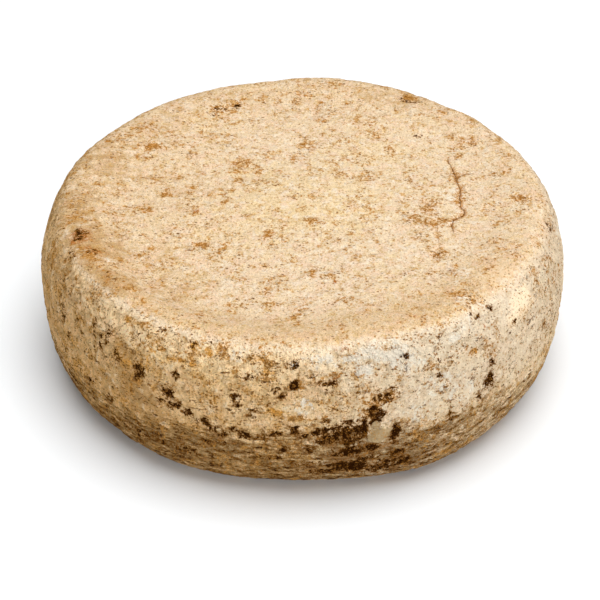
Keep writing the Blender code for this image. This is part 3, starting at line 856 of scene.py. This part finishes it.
    # ochre stain, with brown crumbs in it where it is thick
    spread = ochre * (2.2 + side * 0.9) + busy * 0.50 + patch * 0.50
    halo = spread + flakes * 0.35 + cloud(1.5, 2.0, seed=45.0) * 0.45
    halo = halo + fine * 0.25 + grain * 0.20
    colour = dye(colour, "amber", halo.between(0.7, 2.4) * (0.40 + side * 0.38 - fairAndLit * 0.40) * worn)
    colour = dye(colour, "ochre", (halo + fine * 0.4 + grain * 0.3).between(1.6, 3.4) * 0.80 * worn)
    crumbly = fine * 1.2 + grain * 0.3 + spread + crumble * 0.3
    colour = dye(colour, "umber", crumbly.between(2.80, 3.30) * 0.80 * worn)
    lively = orange * 2.2 + flakes * 0.45 + patch * 0.45 + crumble * 0.35
    lively = lively.between(0.6, 2.8) * orange.between(0.0, 0.3)
    colour = dye(colour, "orange", lively * (0.80 + fine * 0.12))
    thick = (spread * 0.15 + side * 0.02 + rimBrownAndShade * 0.25 - fairAndLit * 0.05) * worn
    colour = specks(colour, 1.8, 3.0, 0.42, (thick + 0.04 - side * 0.03) * clean, "ochre", "ochre")
    colour = specks(colour, 0.95, 17.0, 0.27, (thick + 0.10 - side * 0.04) * clean, "tan", "umber")
    colour = specks(colour, 1.5, 7.0, 0.33, (thick * 0.8 + 0.10 + gathered * 0.14) * clean, "tan", "bark", 0.35)
    colour = dye(colour, "rust", rust.between(0.1, 0.6) * (fine + rust * 2.0).between(0.0, 1.5) * 0.80)

    # pepper, from pale dots to dark ones; the pale dots are partly painted glints
    paleAndGlints = 0.05 - side * 0.02 - low * 0.3 - brown * 0.2
    coarse = 0.03 + busy * 0.05 + side * (gathered * 0.44 + 0.06) + rimBrownAndShade * 0.25 + westBrownAndShade * 0.18
    small = 0.10 + patch * 0.03 + side * (gathered * 0.42 + 0.10) + westBrownAndShade * 0.20
    large = shoulder * 0.40 + side * 0.10 + rimBrownAndShade * 0.2 + crowd * 0.25
    colour = specks(colour, 1.1, 23.0, 0.30, paleAndGlints, "cream", "milk")
    colour = specks(colour, 1.35, 5.0, 0.29, coarse, "tan", "bark", 0.15)
    colour = specks(colour, 0.90, 31.0, 0.24, small, "tan", "bark", 0.12)
    colour = specks(colour, 2.0, 11.0, 0.30, large, "fawn", "bark", 0.40)

    # loose groups of brown crumbs on the side
    scatter = crumble * 0.80 + fine * 0.45 + patch * 0.60 + busy * 0.30 + folds * 0.30 + crowd * 2.0
    scatter = (scatter - 1.1 - shoulder * 0.3 - fairAndLit * 0.20) * side * worn
    colour = dye(colour, "fawn", scatter.between(0.70, 1.70) * (0.50 - fairAndLit * 0.15))
    colour = dye(colour, "umber", scatter.between(1.45, 1.90) * 0.82)
    colour = dye(colour, "bark", scatter.between(2.00, 2.40) * 0.92)
    colour = dye(colour, "soot", scatter.between(2.80, 3.20) * 0.92)

    # dark mould, crumbly at its edges, in a wider brown bruise
    around = bruise * 2.1 + patch * 0.55 + crumble * 0.35
    colour = dye(colour, "bruise", around.between(1.0, 2.8) * bruise.between(0.0, 0.2) * 0.62 * worn)
    grown = crumble * 0.75 + patch * 0.45 + fine * 0.50 + grain * 0.35 + mould * 3.3
    held = mould.between(0.0, 0.12) * (1.0 - isle)
    colour = dye(colour, "umber", grown.between(0.5, 1.6) * held * 0.66)
    colour = dye(colour, "bark", grown.between(1.2, 1.9) * held * 0.92)
    dark = grown.between(1.9, 2.8) * held
    colour = dye(colour, "soot", dark * (fine * 0.05 + 0.95).least(1.0))
    glints = (cloud(1.5, 1.0, seed=97.0) - 1.7).between(0.0, 0.5)
    colour = dye(colour, "umber", glints * dark * 0.70)
    colour = dye(colour, "drab", isle * 0.78)
    colour = colour * (1.0 - (flakes * 0.05 + grain * 0.03) * isle)

    # chalky bloom with ash-grey hairlines
    powder = (cloud(2.6, 4.0, 0.65, seed=81.0) * 0.7 + chalk * 2.6 - grain * 0.3).between(0.7, 2.4)
    chalked = powder * chalk.between(0.0, 0.3) * (1.0 - dark)
    colour = dye(colour, "chalk", chalked * 0.86)
    hair = cloud(4.6, 2.0, 0.5, seed=85.0, distortion=0.8).size().between(0.12, 0.03)
    colour = dye(colour, "ash", hair * chalk.between(0.3, 0.8) * 0.60)

    # the cracks: an ochre halo with a dark line in it
    line = None
    for name, crack in cracks.items():
        drawn = (mask(name + "Crack") + fine * 0.10 + grain * 0.06).size()
        drawn = drawn.between(crack["width"] * 0.40, 0.12) * crack["dark"]
        line = drawn if line is None else line.most(drawn)
    colour = dye(colour, "ochre", (crackStain + fine * 0.15).between(0.08, 0.45) * 0.8)
    colour = dye(colour, "split", line * crackStain.between(0.01, 0.25) * (0.85 + fine * 0.12).least(1.0))

    # roughness, and heights in mm
    roughness = rindFinish["roughness"] + flakes * 0.02 - wax * 0.15 + chalk * 0.12
    heights = (grain * 0.05 + fine * 0.04) * (0.7 + side * 0.2) - flakes * (0.09 + side * 0.16) - lines * 0.12
    heights = heights + lumps * side * 0.16 + chalked * 0.08 - dark * (0.20 + fine * 0.10)
    heights = heights - scatter.between(1.4, 2.2) * 0.14
    bump = start.add("ShaderNodeBump", sockets={"Height": heights * worn, "Strength": 1.0, "Distance": 1.0 * mm})
    surface = start.add("ShaderNodeBsdfPrincipled", sockets={
        "Base Color": colour, "Roughness": roughness, "Normal": bump, "Specular IOR Level": rindFinish["shine"]})
    start.add("ShaderNodeOutputMaterial", sockets={"Surface": surface}, out=None)
    return material


rind = makeRind()
rind.data.materials.append(makeRindFinish())
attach(rind, "root")
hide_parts(wheelRind["node"])
print("rind finished")

studio = {
    "distance": 0.8,
    "elevation": 36.0,
    "lens": 124.4,
    "middle": (0.0, 0.0, 0.0325),
    "aim": (-0.00083, -0.0078, 0.0219),
    "filmWidth": 36.0,
    "nearest": 0.01,
    "sky": 0.17,
    "skyTint": (0.93, 0.97, 1.0),
    "lamps": {     # name: strength, where from, spread in degrees
        "overhead": (2.86, (0.13, 0.05, 1.0), 56.0),
        "frontFill": (0.50, (0.10, -0.92, 0.40), 40.0),
        "rightFill": (1.58, (0.66, -0.73, 0.12), 40.0),
        "leftFill": (0.34, (-1.0, -0.20, 0.10), 40.0),
    },
    "floor": (0.925, 0.945, 0.960),
    "floorHalf": 3.0,
    "floorDrop": 0.2 * mm,     # keeps the floor just under the foot
    "floorRoughness": 0.9,
    "floorShine": 0.1,
}


def makeStudio():
    scene = bpy.context.scene
    ground = bpy.data.meshes.new("floor")
    half = studio["floorHalf"]
    ground.from_pydata([(-half, -half, 0), (half, -half, 0), (half, half, 0), (-half, half, 0)], [], [(0, 1, 2, 3)])
    floor = bpy.data.objects.new("floor", ground)
    floor.location.z = -studio["floorDrop"]
    scene.collection.objects.link(floor)
    paint = bpy.data.materials.new("floorPaint")
    paint.use_nodes = True
    shader = paint.node_tree.nodes["Principled BSDF"]
    shader.inputs["Base Color"].default_value = (*studio["floor"], 1.0)
    shader.inputs["Roughness"].default_value = studio["floorRoughness"]
    shader.inputs["Specular IOR Level"].default_value = studio["floorShine"]
    ground.materials.append(paint)

    world = bpy.data.worlds.new("sky")
    scene.world = world
    world.use_nodes = True
    background = world.node_tree.nodes["Background"]
    background.inputs["Color"].default_value = (*studio["skyTint"], 1.0)
    background.inputs["Strength"].default_value = studio["sky"]

    for name, (strength, whence, spread) in studio["lamps"].items():
        lamp = bpy.data.lights.new(name, "SUN")
        lamp.energy = strength
        lamp.angle = math.radians(spread)
        hung = bpy.data.objects.new(name, lamp)
        hung.rotation_mode = "QUATERNION"
        hung.rotation_quaternion = Vector(whence).to_track_quat("Z", "Y")
        scene.collection.objects.link(hung)

    lens = bpy.data.cameras.new("camera")
    lens.lens = studio["lens"]
    lens.sensor_width = studio["filmWidth"]
    lens.clip_start = studio["nearest"]
    camera = bpy.data.objects.new("camera", lens)
    rise = math.radians(studio["elevation"])
    back = Vector((0.0, -math.cos(rise), math.sin(rise)))
    camera.location = Vector(studio["middle"]) + back * studio["distance"]
    camera.rotation_mode = "QUATERNION"
    camera.rotation_quaternion = (camera.location - Vector(studio["aim"])).to_track_quat("Z", "Y")
    scene.collection.objects.link(camera)
    scene.camera = camera
    scene.view_settings.view_transform = "Standard"
    scene.view_settings.look = "None"


makeStudio()
print("studio set")
